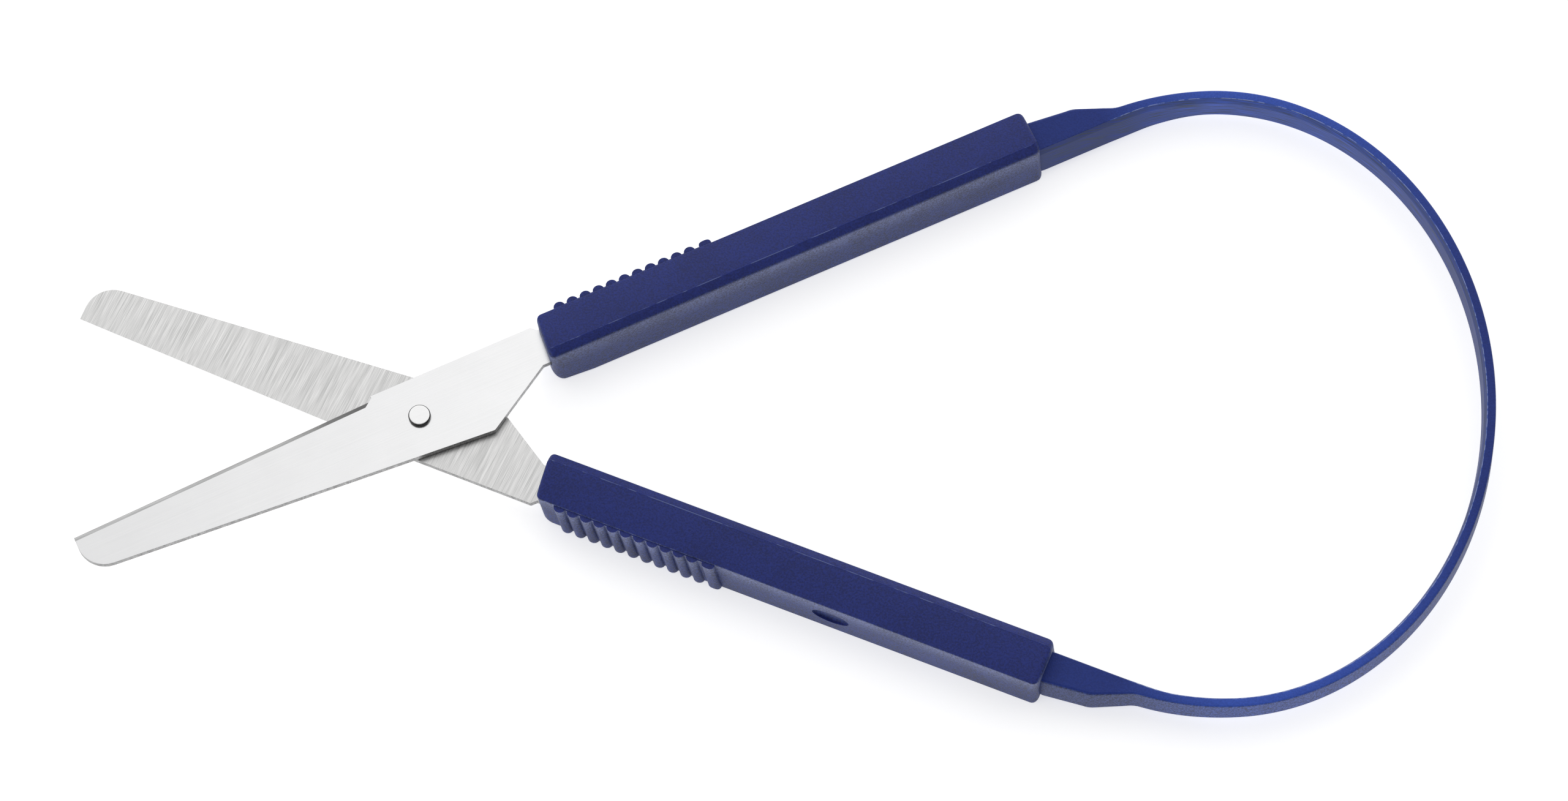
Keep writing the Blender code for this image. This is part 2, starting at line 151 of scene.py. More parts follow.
# Colours, linear
NAVY = (0.016, 0.033, 0.25)
# painted light on the grips' upright sides: shade low down, and a pale reflection of the floor just under
# the top edge
LOW_SIDE_SHADE_NAVY = (0.02, 0.04, 0.19)
SIDE_SHEEN_NAVY = (0.13, 0.16, 0.34)
# a dashed painted highlight along the grips' ridge
RIDGE_HIGHLIGHT_BLUE = (0.12, 0.16, 0.4)
CALM_BLUE = (0.015, 0.04, 0.27)
STRETCHED_BLUE = (0.045, 0.115, 0.6)
# greys the strap's upright sides: a painted reflection of the floor
SIDE_REFLECTION_GREY = (0.05, 0.065, 0.1)
DULL_BLUE = (0.04, 0.06, 0.12)
# the strap's edge between its top and bevel: dashes of painted highlight between these two blues
EDGE_BLUE = (0.04, 0.1, 0.45)
EDGE_HIGHLIGHT_BLUE = (0.25, 0.33, 0.68)
GRAIN = 0.27 * MM  # size of the moulded grain

# Stage
CAMERA_FROM_PIVOT = (82.1 * MM, -328.8 * MM, 886.7 * MM)
CAMERA_TURN = (20.48, 2.21, -0.72)  # degrees
CAMERA_LENS = 151.14
FLOOR_HALF = 3.0
FLOOR_Z = -0.02 * MM
FLOOR_GLOW = 0.6
WORLD_STRENGTH = 0.3

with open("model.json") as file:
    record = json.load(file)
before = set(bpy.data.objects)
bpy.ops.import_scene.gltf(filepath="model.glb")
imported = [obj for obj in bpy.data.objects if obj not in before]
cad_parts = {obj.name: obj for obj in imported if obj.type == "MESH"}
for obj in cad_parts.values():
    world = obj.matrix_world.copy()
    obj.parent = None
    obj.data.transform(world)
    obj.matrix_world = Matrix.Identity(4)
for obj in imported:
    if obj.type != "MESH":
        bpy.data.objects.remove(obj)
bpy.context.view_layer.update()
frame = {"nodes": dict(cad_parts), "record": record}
joints = {joint["name"]: joint for joint in frame["record"]["behaviour"]["joints"]}
PIVOT = Vector((*joints["blade_pivot"]["pos_m"][:2], 0))
GRIP_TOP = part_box("upper_grip")[1].z
STRAP_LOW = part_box("upper_loop_1")[0].z
STRAP_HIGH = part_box("upper_loop_1")[1].z
STRAP_MIDDLE = (STRAP_LOW + STRAP_HIGH) / 2


def arm_matrix(side):
    """From an arm's frame to the row frame. The lower arm's frame mirrors the upper one's."""
    mirror = Matrix.Diagonal((1, side, 1, 1))
    return Matrix.Translation(PIVOT) @ Matrix.Rotation(side * OPEN_ANGLE, 4, "Z") @ mirror


# ---------------------------------------------------------------- mesh helpers


def show(name, mesh, *materials):
    """A new object in the scene."""
    piece = bpy.data.objects.new(name, mesh)
    bpy.context.scene.collection.objects.link(piece)
    for material in materials:
        piece.data.materials.append(material)
    return piece


def loft(name, rings):
    """A closed surface through rings of points, each ring with as many points as the last."""
    shape = bmesh.new()
    made = [[shape.verts.new(point) for point in ring] for ring in rings]
    for ring, after in zip(made, made[1:]):
        for i in range(len(ring)):
            shape.faces.new((ring[i - 1], ring[i], after[i], after[i - 1]))
    shape.faces.new(made[0])
    shape.faces.new(made[-1])
    bmesh.ops.recalc_face_normals(shape, faces=shape.faces)
    mesh = bpy.data.meshes.new(name)
    shape.to_mesh(mesh)
    shape.free()
    return mesh


def box_mesh(name, low, high):
    """A box between two corners."""
    mesh = bpy.data.meshes.new(name)
    shape = bmesh.new()
    bmesh.ops.create_cube(shape, size=1.0)
    size = [abs(b - a) for a, b in zip(low, high)]
    bmesh.ops.scale(shape, vec=size, verts=shape.verts)
    bmesh.ops.translate(shape, vec=(Vector(low) + Vector(high)) / 2, verts=shape.verts)
    bmesh.ops.recalc_face_normals(shape, faces=shape.faces)
    shape.to_mesh(mesh)
    shape.free()
    return mesh


def cut(piece, meshes):
    """Cuts closed meshes from a piece and leaves a plain mesh."""
    for mesh in meshes:
        cutter = bpy.data.objects.new("cutter", mesh)
        bpy.context.scene.collection.objects.link(cutter)
        step = piece.modifiers.new("cut", "BOOLEAN")
        step.operation = "DIFFERENCE"
        step.solver = "EXACT"
        step.object = cutter
        bpy.context.view_layer.update()
        graph = bpy.context.evaluated_depsgraph_get()
        result = bpy.data.meshes.new_from_object(piece.evaluated_get(graph))
        piece.modifiers.remove(step)
        piece.data = result
        bpy.data.objects.remove(cutter)


def smooth(piece, angle=35.0):
    """Smooth shading that stays flat on the flat faces and keeps sharp edges."""
    piece.data.shade_smooth()
    piece.data.set_sharp_from_angle(angle=math.radians(angle))
    weighted = piece.modifiers.new("weighted", "WEIGHTED_NORMAL")
    weighted.keep_sharp = True


def rounded(corners, steps=4):
    """The outline through corners (x, y, radius), with an arc at each corner that has a radius."""
    points = []
    for index, (x, y, radius) in enumerate(corners):
        corner = Vector((x, y))
        if radius == 0:
            points.append(corner)
            continue
        before = (Vector(corners[index - 1][:2]) - corner).normalized()
        after = (Vector(corners[(index + 1) % len(corners)][:2]) - corner).normalized()
        half = before.angle(after) / 2
        centre = corner + (before + after).normalized() * (radius / math.sin(half))
        first = corner + before * (radius / math.tan(half)) - centre
        turn = first.angle_signed(corner + after * (radius / math.tan(half)) - centre)
        for step in range(steps + 1):
            points.append(centre + Matrix.Rotation(-turn * step / steps, 2) @ first)
    return points


def evenly(start, end, steps):
    """Values from start to end in even steps, both included."""
    return [start + (end - start) * step / steps for step in range(steps + 1)]


def arc(centre, radius, start, end, steps):
    """Points on an arc, angles in degrees."""
    points = []
    for degrees in evenly(start, end, steps):
        turn = math.radians(degrees)
        points.append((centre[0] + radius * math.cos(turn), centre[1] + radius * math.sin(turn)))
    return points


# ---------------------------------------------------------------- materials


class Paint:
    """A Principled material, with short ways to add nodes to it."""

    def __init__(self, name, color, roughness, metallic=0.0, specular=0.5):
        self.material = bpy.data.materials.new(name)
        self.material.use_nodes = True
        self.tree = self.material.node_tree
        self.shader = self.tree.nodes["Principled BSDF"]
        self.set(self.shader, "Base Color", (*color, 1.0))
        self.set(self.shader, "Roughness", roughness)
        self.set(self.shader, "Metallic", metallic)
        self.set(self.shader, "Specular IOR Level", specular)

    def set(self, node, socket, value):
        """Links the socket if value is another node's output, and otherwise sets it."""
        if isinstance(value, bpy.types.NodeSocket):
            self.tree.links.new(value, node.inputs[socket])
        else:
            node.inputs[socket].default_value = value

    def add(self, kind, sockets=None, **settings):
        """A new node with these inputs and settings."""
        node = self.tree.nodes.new(kind)
        for name, value in settings.items():
            setattr(node, name, value)
        for socket, value in (sockets or {}).items():
            self.set(node, socket, value)
        return node

    def place(self, scale, turn=0.0, source="Object"):
        """Coordinates that count in features of this size, along axes turned about Z."""
        coordinates = self.add("ShaderNodeTexCoord")
        sockets = {"Vector": coordinates.outputs[source], "Rotation": (0, 0, turn), "Scale": scale}
        return self.add("ShaderNodeMapping", sockets, vector_type="TEXTURE").outputs["Vector"]

    def axis(self, source, name):
        """One axis of the place, the normal or the UV of the point that is shaded."""
        coordinates = self.add("ShaderNodeTexCoord")
        split = self.add("ShaderNodeSeparateXYZ", {"Vector": coordinates.outputs[source]})
        return split.outputs[name]

    def share(self, value, start, end):
        """From 0 where the value is start to 1 where it is end."""
        sockets = {"Value": value, "From Min": start, "From Max": end}
        return self.add("ShaderNodeMapRange", sockets).outputs["Result"]

    def upright(self):
        """1 on upright surfaces, 0 on those that face up."""
        return self.ramp(self.axis("Normal", "Z"), [(0.5, 1.0), (0.8, 0.0)])

    def noise(self, vector, detail=2.0, roughness=0.5):
        """Noise from 0 to 1, with features as large as the coordinates' units."""
        sockets = {"Vector": vector, "Scale": 1.0, "Detail": detail, "Roughness": roughness}
        return self.add("ShaderNodeTexNoise", sockets).outputs["Fac"]

    def ramp(self, factor, stops):
        """Colours or grey levels at places from 0 to 1."""
        node = self.add("ShaderNodeValToRGB", {"Fac": factor})
        elements = node.color_ramp.elements
        while len(elements) < len(stops):
            elements.new(1.0)
        for element, (position, color) in zip(elements, stops):
            element.position = position
            element.color = (*color, 1.0) if isinstance(color, tuple) else (color, color, color, 1.0)
        return node.outputs["Color"]

    def scale_range(self, factor, low, high):
        """From low to high as the factor goes from 0 to 1."""
        sockets = {"Value": factor, "To Min": low, "To Max": high}
        return self.add("ShaderNodeMapRange", sockets).outputs["Result"]

    def mix(self, factor, a, b, blend="MIX"):
        """From a to b as the factor goes from 0 to 1."""
        node = self.add("ShaderNodeMix", data_type="RGBA", blend_type=blend)
        self.set(node, 0, factor)
        self.set(node, 6, a)
        self.set(node, 7, b)
        return node.outputs[2]

    def shaded(self, color, shade):
        """The colour multiplied by the shade."""
        return self.mix(1.0, color, shade, "MULTIPLY")

    def bump(self, height, strength, distance):
        """The normal of a surface with this relief."""
        sockets = {"Height": height, "Strength": strength, "Distance": distance}
        return self.add("ShaderNodeBump", sockets).outputs["Normal"]


def moulded_plastic(name, color, low_side_shade, side_sheen):
    """Grainy plastic from a spark-eroded mould; painted shade low on its sides, a painted sheen near their
    tops.
    """
    paint = Paint(name, color, 0.5, specular=0.42)
    side = paint.upright()
    height = paint.share(paint.axis("Object", "Z"), 0.0, 10 * MM)
    # painted light on the upright sides: shade towards the bottom, a pale reflection of the floor just
    # under the top edge
    side_light_share = paint.ramp(height, [(0.2, 0.0), (0.45, 0.1), (0.6, 0.45), (0.75, 1.0), (0.79, 1.0), (0.83, 0.0)])
    side_light_color = paint.mix(side, (*color, 1.0), paint.mix(side_light_share, (*low_side_shade, 1.0), (*side_sheen, 1.0)))
    fine = paint.noise(paint.place((GRAIN,) * 3), detail=3.0, roughness=0.65)
    broad = paint.noise(paint.place((6 * MM,) * 3), detail=3.0)
    texture = paint.mix(0.2, fine, broad)
    faint = paint.ramp(texture, [(0.4, 0.6), (0.6, 1.05)])
    strong = paint.ramp(texture, [(0.43, 0.45), (0.57, 1.3)])
    paint.set(paint.shader, "Base Color", paint.shaded(side_light_color, paint.mix(side, faint, strong)))
    paint.set(paint.shader, "Roughness", paint.scale_range(fine, 0.38, 0.62))
    paint.set(paint.shader, "Normal", paint.bump(fine, 1.0, 0.12 * MM))
    return paint.material


def dashed_highlight_plastic(name, plain, pale, length):
    """A dashed painted highlight: pale in some places and plain in others, in dashes of about this length.
    """
    paint = Paint(name, pale, 0.4)
    breaks = paint.noise(paint.place((length,) * 3), detail=3.0, roughness=0.6)
    paint.set(paint.shader, "Base Color", paint.ramp(breaks, [(0.46, plain), (0.54, pale)]))
    return paint.material


def strap_color(paint):
    """The strap's colour, paler where the loop bends most."""
    along = paint.share(paint.axis("UV", "X"), 0.0, STRAP_END)
    stops = [(0.0, 0.0), (0.06, 0.35), (0.2, 1.0), (0.42, 0.85), (0.64, 0.3), (0.8, 0.0)]
    return paint.mix(paint.ramp(along, stops), (*CALM_BLUE, 1.0), (*STRETCHED_BLUE, 1.0))


def grainy_strap(name):
    """The strap's top and outer side: a fine moulded grain, stronger on the side, greyed there by a painted
    reflection.
    """
    paint = Paint(name, CALM_BLUE, 0.5, specular=0.32)
    color = strap_color(paint)
    grain = paint.noise(paint.place((GRAIN,) * 3), detail=3.0, roughness=0.65)
    # painted reflection of the floor: the upright sides are greyed
    side_light_color = paint.mix(0.55, color, (*SIDE_REFLECTION_GREY, 1.0))
    strong = paint.shaded(side_light_color, paint.ramp(grain, [(0.42, 0.5), (0.58, 1.5)]))
    faint = paint.shaded(color, paint.ramp(grain, [(0.4, 0.86), (0.6, 1.04)]))
    paint.set(paint.shader, "Base Color", paint.mix(paint.upright(), faint, strong))
    paint.set(paint.shader, "Normal", paint.bump(grain, 0.8, 0.08 * MM))
    return paint.material


def streaked_strap(name):
    """The strap's inner side: fine lengthwise streaks, dull and bright."""
    paint = Paint(name, CALM_BLUE, 0.5, specular=0.32)
    streaks = paint.noise(paint.place((5.0 * MM, 0.12 * MM, 1.0), source="UV"), detail=3.0)
    dull = paint.ramp(streaks, [(0.42, 0.95), (0.58, 0.05)])
    paint.set(paint.shader, "Base Color", paint.mix(dull, strap_color(paint), (*DULL_BLUE, 1.0)))
    paint.set(paint.shader, "Roughness", paint.scale_range(streaks, 0.65, 0.4))
    paint.set(paint.shader, "Normal", paint.bump(streaks, 0.6, 0.04 * MM))
    return paint.material


def along_blade(paint, start, end):
    """From 0 to 1 between two places along the row's X, counted from the rivet."""
    return paint.share(paint.axis("Object", "X"), PIVOT.x + start, PIVOT.x + end)


def polished_steel(name, side, shaded_tip, bright):
    """Bright steel with faint polishing lines along the blade and a clouded shine, and painted shade
    towards the tip.
    """
    paint = Paint(name, bright, 0.2, metallic=1.0)
    turn = side * OPEN_ANGLE
    lines = paint.noise(paint.place((14 * MM, 0.12 * MM, 1 * MM), turn), detail=3.0)
    cloud = paint.noise(paint.place((5 * MM,) * 3), detail=3.0)
    both = paint.mix(0.5, lines, cloud)
    # painted shade: the steel dims towards the tip
    color = paint.ramp(along_blade(paint, -50 * MM, 18 * MM), [(0.0, shaded_tip), (1.0, bright)])
    shade = paint.ramp(both, [(0.35, 0.94), (0.65, 1.0)])
    paint.set(paint.shader, "Base Color", paint.shaded(color, shade))
    paint.set(paint.shader, "Roughness", paint.scale_range(both, 0.14, 0.3))
    paint.set(paint.shader, "Normal", paint.bump(lines, 0.08, 0.01 * MM))
    return paint.material


def lined_steel(name, turn, dark, light, roughness):
    """A paint for steel with fine grinding lines, square to the row's X axis but for this turn."""
    paint = Paint(name, dark, roughness, metallic=1.0)
    fine = paint.noise(paint.place((0.065 * MM, 7 * MM, 1 * MM), turn), detail=3.0, roughness=0.7)
    broad = paint.noise(paint.place((0.5 * MM, 14 * MM, 1 * MM), turn), detail=2.0)
    both = paint.mix(0.25, fine, broad)
    paint.set(paint.shader, "Base Color", paint.ramp(both, [(0.4, dark), (0.6, light)]))
    paint.set(paint.shader, "Roughness", paint.scale_range(both, roughness - 0.08, roughness + 0.12))
    paint.set(paint.shader, "Normal", paint.bump(fine, 0.35, 0.015 * MM))
    return paint, both


def brushed_steel(name, side, dark, light):
    """Steel brushed nearly square across the blade."""
    slant = math.radians(3)
    return lined_steel(name, side * (OPEN_ANGLE + slant), dark, light, 0.32)[0].material


def ground_steel(name, side, dark, light, shaded):
    """Steel ground along the blade, darker beside the rivet."""
    paint, lines = lined_steel(name, side * OPEN_ANGLE + math.pi / 2, dark, light, 0.35)
    color = paint.ramp(lines, [(0.35, dark), (0.65, light)])
    dull = paint.ramp(along_blade(paint, -20 * MM, -5 * MM), [(0.0, 0.0), (0.3, 0.35), (0.75, 1.0)])
    paint.set(paint.shader, "Base Color", paint.mix(dull, color, (*shaded, 1.0)))
    return paint.material


# ---------------------------------------------------------------- blades and rivet


def blade_piece(name, node, side, *materials):
    """The CAD blade with its sharp edges broken: flat faces, ground bevel, then edges and side walls."""
    mesh = frame["nodes"][node].data.copy()
    mesh.name = name
    mesh.materials.clear()
    shape = bmesh.new()
    shape.from_mesh(mesh)
    bmesh.ops.remove_doubles(shape, verts=shape.verts, dist=WELD)
    bmesh.ops.dissolve_limit(
        shape, angle_limit=math.radians(0.5), verts=shape.verts, edges=shape.edges
    )
    bmesh.ops.recalc_face_normals(shape, faces=shape.faces)
    edges = [edge for edge in shape.edges if edge.calc_face_angle(0) > math.radians(35)]
    bmesh.ops.bevel(
        shape, geom=edges, offset=EDGE_BREAK, segments=2, profile=0.5, affect="EDGES",
        clamp_overlap=True,
    )
    for face in shape.faces:
        levelness = abs(face.normal.z)
        if levelness > 0.95:
            face.material_index = 0
        elif levelness > 0.4 and face.calc_area() > BEVEL_AREA:
            face.material_index = 1
        else:
            face.material_index = 2
    shape.to_mesh(mesh)
    shape.free()
    piece = show(name, mesh, *materials)
    smooth(piece, 25.0)
    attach(piece, ARM_BODY[side])
    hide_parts(node)
    return piece


def rivet_piece(face_steel, shaded_rim_steel):
    """A turned rivet with a flat head, a broken edge and a peened tail; all but its top is painted shade.
    """
    low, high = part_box("pivot_rivet")
    head_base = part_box("front_blade")[1].z + RIVET_GAP
    tail_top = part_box("back_blade")[0].z - RIVET_GAP
    profile = [(RIVET_HEAD * part, high.z) for part in (0.25, 0.5, 0.75)]
    profile += arc((RIVET_HEAD - RIVET_BREAK, high.z - RIVET_BREAK), RIVET_BREAK, 90, 0, 4)
    profile += [(RIVET_HEAD, head_base), (RIVET_SHANK, head_base)]
    profile += [(RIVET_SHANK, tail_top), (RIVET_TAIL, tail_top)]
    for degrees in evenly(0, 90, 6)[1:-1]:
        turn = math.radians(degrees)
        sink = (tail_top - low.z) * math.sin(turn)
        profile.append((RIVET_TAIL * math.cos(turn), tail_top - sink))
    rings = []
    for radius, z in profile:
        circle = arc((0, 0), radius, 0, 360, 64)[:-1]
        rings.append([PIVOT + Vector((x, y, z)) for x, y in circle])
    piece = show("pivot_rivet_turned", loft("pivot_rivet_turned", rings), face_steel, shaded_rim_steel)
    for face in piece.data.polygons:
        # painted shade: all but the flat top take the near-black rim steel
        face.material_index = 0 if face.normal.z > 0.95 else 1
    smooth(piece)
    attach(piece, "front_arm")
    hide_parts("pivot_rivet")


# ---------------------------------------------------------------- grips


def rounding_inset(depth, radius):
    """How far a rounded corner has drawn the surface in, at this depth from the end face."""
    if depth >= radius:
        return 0.0
    return radius - math.sqrt(max(0.0, radius ** 2 - (radius - depth) ** 2))


def rib_places():
    """Where each rib stands along the grip, its radius, and how square its section is."""
    ribs = [(RIB_START + rib * RIB_PITCH, RIB_RADIUS, 2) for rib in range(RIB_COUNT - 1)]
    return ribs + [(LAST_RIB_X, LAST_RIB_RADIUS, 3)]


def rib_relief(x, z):
    """How proud the ribs stand on the outer side at this place."""
    ribs = rib_places()
    if not RIB_LOW < z < RIB_TOP or not ribs[0][0] < x < ribs[-1][0]:
        relief = 0.0
    else:
        relief = RIB_VALLEY
    for place, radius, power in ribs:
        along = abs(x - place) / radius
        if along < 1 and RIB_LOW < z < RIB_TOP:
            relief = max(relief, RIB_HEIGHT * (1 - along ** power) ** (1 / power))
    return relief - min(relief, rounding_inset(z - RIB_LOW, RIB_FOOT_RADIUS))


def rib_shift(x, z):
    """How far the outer side is drawn along the grip at this place, so that the ribs lean."""
    fade_in = (x - LEAN_START) / (RIB_START - RIB_RADIUS - LEAN_START)
    fade_out = (LEAN_END - x) / LEAN_RUN_OUT
    share = max(0.0, min(1.0, fade_in, fade_out))
    return RIB_LEAN * share * max(0.0, 1 - z / RIB_TOP)


def grip_stations():
    """Places along the grip where its surface turns: the rounded ends and each rib."""
    ends = [END_ZONE * (1 - math.cos(math.radians(turn))) for turn in range(0, 91, 9)]
    stations = [GRIP_FRONT + end for end in ends]
    for place, radius, _ in rib_places():
        for turn in range(-90, 91, 15):
            x = place + radius * math.sin(math.radians(turn))
            if x > stations[-1] + 0.01 * MM:
                stations.append(x)
    gap = 0.1 * MM
    stations += evenly(stations[-1] + gap, GRIP_REAR - END_ZONE - gap, 40)
    stations += [GRIP_REAR - end for end in reversed(ends)]
    return stations


def grip_section(x):
    """The grip's outline across the arm, before its ends are rounded: outer side, crown, inner side."""
    lead_in = min(1.0, (x - GRIP_FRONT) / (LEAD_IN_END - GRIP_FRONT))
    foot = LEAD_IN_FOOT + (INNER_FOOT - LEAD_IN_FOOT) * lead_in
    corners = [(OUTER_FOOT, 0, OUTER_FOOT_RADIUS)]
    rib_rows = [RIB_LOW - 0.01 * MM, RIB_LOW + 0.02 * MM]
    rib_rows += [RIB_LOW + RIB_FOOT_RADIUS * (1 - math.cos(math.radians(a))) for a in (30, 55, 90)]
    rib_rows += [OUTER_HEIGHT * share for share in (0.1, 0.2, 0.35, 0.5, 0.65, 0.8, 0.9)]
    rib_rows += [RIB_TOP - 0.12 * MM, RIB_TOP - 0.01 * MM, RIB_TOP + 0.01 * MM]
    for z in rib_rows:
        corners.append((OUTER_FOOT + (OUTER_TOP - OUTER_FOOT) * z / OUTER_HEIGHT, z, 0))
    corners.append((OUTER_TOP, OUTER_HEIGHT, OUTER_TOP_RADIUS))
    # The crown is nearly level beside the ridge and steepens towards the outer side
    width = OUTER_TOP - RIDGE_Y
    drop = GRIP_TOP - OUTER_HEIGHT
    for share in (0.88, 0.74, 0.6, 0.46, 0.33, 0.21, 0.11):
        fall = drop * (CROWN_SLOPE * share + (1 - CROWN_SLOPE) * share ** 2)
        corners.append((RIDGE_Y + width * share, GRIP_TOP - fall, 0))
    corners.append((RIDGE_Y + SEAM_WIDTH, GRIP_TOP - SEAM_SINK, 0))
    corners.append((RIDGE_Y + SEAM_WIDTH / 2, GRIP_TOP + SEAM_HEIGHT, 0))
    corners.append((RIDGE_Y, GRIP_TOP - SEAM_SINK, 0))
    edge = Vector(INNER_EDGE)
    ridge = Vector((RIDGE_Y, GRIP_TOP))
    for share in (0.15, 0.4):
        y, z = ridge.lerp(edge, share)
        corners.append((y, z + INNER_BULGE, 0))
    corners.append((*edge, INNER_EDGE_RADIUS))
    for share in (0.2, 0.4, 0.6, 0.8):
        y, z = edge.lerp(Vector((foot, 0)), share)
        corners.append((y, z, 0))
    corners.append((foot, 0, INNER_FOOT_RADIUS))
    return rounded(corners)


def grip_ring(x):
    """The outline at this place, drawn in near the rounded ends, with the ribs."""
    front = x - GRIP_FRONT
    rear = GRIP_REAR - x
    middle_y, middle_z = GRIP_MIDDLE
    ring = []
    for y, z in grip_section(x):
        low = max(0.0, 1 - z / OUTER_HEIGHT)
        top_round, foot_extra = FRONT_ROUND_OUTER if y > middle_y else FRONT_ROUND_INNER
        side = rounding_inset(front, top_round + foot_extra * low)
        side = max(side, rounding_inset(rear, REAR_ROUND))
        shift = 0.0
        if y > OUTER_TOP - 0.01 * MM:
            y += rib_relief(x, z)
            shift = rib_shift(x, z)
        half_width = abs((OUTER_TOP if y > middle_y else INNER_EDGE[0]) - middle_y)
        y = middle_y + (y - middle_y) * (1 - side / half_width)
        front_round, rear_round = TOP_ROUND if z > middle_z else FOOT_ROUND
        sink = max(rounding_inset(front, front_round), rounding_inset(rear, rear_round))
        z = middle_z + (z - middle_z) * (1 - sink / middle_z)
        share = (y - INNER_FOOT) / (OUTER_TOP - INNER_FOOT)
        back = FRONT_SLANT * share * max(0.0, 1 - front / SLANT_END)
        ring.append((x + back + shift, y, z))
    return ring


def dimple_mesh(name):
    """A shallow oval pocket to cut from the outer side, with steep walls and a rounded floor."""
    surface = (OUTER_FOOT + OUTER_TOP) / 2
    half_x, half_z = (size / 2 for size in DIMPLE_SIZE)
    levels = [(1.0, 1.0 * MM), (1.0, -0.35 * DIMPLE_DEPTH), (0.98, -0.75 * DIMPLE_DEPTH)]
    levels += [(0.92, -0.95 * DIMPLE_DEPTH), (0.8, -DIMPLE_DEPTH), (0.3, -DIMPLE_DEPTH)]
    rings = []
    for size, out in levels:
        ring = []
        for x, z in arc((0, 0), size, 0, 360, 48)[:-1]:
            ring.append((DIMPLE_X + x * half_x, surface + out, STRAP_MIDDLE + z * half_z))
        rings.append(ring)
    return loft(name, rings)


def grip_hollows(side):
    """Meshes to cut from a grip: the slot for its blade's tang, the loop's socket and the dimple."""
    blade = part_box("front_blade" if side == UPPER else "back_blade")
    low = blade[0].z - TANG_GAP
    high = blade[1].z + TANG_GAP
    mouth = box_mesh(
        "mouth",
        (GRIP_FRONT - 1 * MM, TANG_Y[0] - TANG_GAP, low),
        (SHOULDER_END + TANG_GAP, SHOULDER_Y + TANG_GAP, high),
    )
    slot = box_mesh(
        "slot",
        (GRIP_FRONT + 1 * MM, TANG_Y[0] - TANG_GAP, low),
        (TANG_END + TANG_GAP, TANG_Y[1] + TANG_GAP, high),
    )
    socket = box_mesh(
        "socket",
        (SOCKET_START, SOCKET_Y[0], STRAP_LOW - TANG_GAP),
        (GRIP_REAR + 1 * MM, SOCKET_Y[1], STRAP_HIGH + TANG_GAP),
    )
    return [mouth, slot, socket, dimple_mesh("dimple")]


def grip_piece(word, plastic, ridge_highlight):
    """A moulded grip with its ribs, its hollows and a dashed painted highlight along the seam on its ridge.
    """
    side = SIDES[word]
    name = word + "_grip_moulding"
    mesh = loft(name, [grip_ring(x) for x in grip_stations()])
    for face in mesh.polygons:
        x, y, z = face.center
        # the seam's faces on the ridge take the dashed painted highlight
        on_ridge_highlight = RIDGE_Y < y < RIDGE_Y + SEAM_WIDTH and z > GRIP_TOP - SEAM_SINK
        face.material_index = 1 if on_ridge_highlight and x < GRIP_REAR - 1 * MM else 0
    piece = show(name, mesh, plastic, ridge_highlight)
    cut(piece, grip_hollows(side))
    piece.data.transform(arm_matrix(side))
    if side == LOWER:
        piece.data.flip_normals()
    smooth(piece)
    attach(piece, ARM_BODY[side])
    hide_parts(word + "_grip")


# ---------------------------------------------------------------- loop


def neck_length():
    return NECK_RADIUS * OPEN_ANGLE


def ellipse_table(steps=720):
    """Length along the ellipse from its widest point, at even steps of its parameter."""
    table = [0.0]
    for step in range(steps):
        turn = math.pi / 2 * (step + 0.5) / steps
        pace = math.hypot(ELLIPSE_SHORT * math.cos(turn), ELLIPSE_LONG * math.sin(turn))
        table.append(table[-1] + pace * math.pi / 2 / steps)
    return table


ELLIPSE_LENGTHS = ellipse_table()
STRAP_END = neck_length() + ELLIPSE_LENGTHS[-1]


def strap_frame(along):
    """Point and direction of the upper half's middle line, at this distance along it."""
    if along < neck_length():
        turn = OPEN_ANGLE - max(0.0, along) / NECK_RADIUS
        point = Vector((
            ELLIPSE_X - NECK_RADIUS * math.sin(turn),
            ELLIPSE_LONG - NECK_RADIUS * (1 - math.cos(turn)),
        ))
        direction = Vector((math.cos(turn), math.sin(turn)))
        return point + direction * min(0.0, along), direction
    rest = along - neck_length()
    steps = len(ELLIPSE_LENGTHS) - 1
    step = next((i for i in range(steps) if ELLIPSE_LENGTHS[i + 1] >= rest), steps - 1)
    gap = ELLIPSE_LENGTHS[step + 1] - ELLIPSE_LENGTHS[step]
    turn = math.pi / 2 * (step + min(1.0, (rest - ELLIPSE_LENGTHS[step]) / gap)) / steps
    point = Vector((ELLIPSE_X + ELLIPSE_SHORT * math.sin(turn), ELLIPSE_LONG * math.cos(turn)))
    direction = Vector((ELLIPSE_SHORT * math.cos(turn), -ELLIPSE_LONG * math.sin(turn)))
    return point, direction.normalized()


def limited_share(value, start, end):
    """From 0 at start to 1 at end, and level beyond them."""
    return min(1.0, max(0.0, (value - start) / (end - start)))


def thickness(along):
    """1 at the thick end and 0 past its taper, which is straight with rounded ends."""
    share = limited_share(along, *TAPER)
    rest = 1 - share
    if share < TAPER_BLEND:
        return 1 - share ** 2 / (2 * TAPER_BLEND * (1 - TAPER_BLEND))
    if rest < TAPER_BLEND:
        return rest ** 2 / (2 * TAPER_BLEND * (1 - TAPER_BLEND))
    return 1 - (share - TAPER_BLEND / 2) / (1 - TAPER_BLEND)


def fade(along, start, end):
    """From 1 to 0 between start and end, with soft ends."""
    share = limited_share(along, start, end)
    return 1 - share * share * (3 - 2 * share)


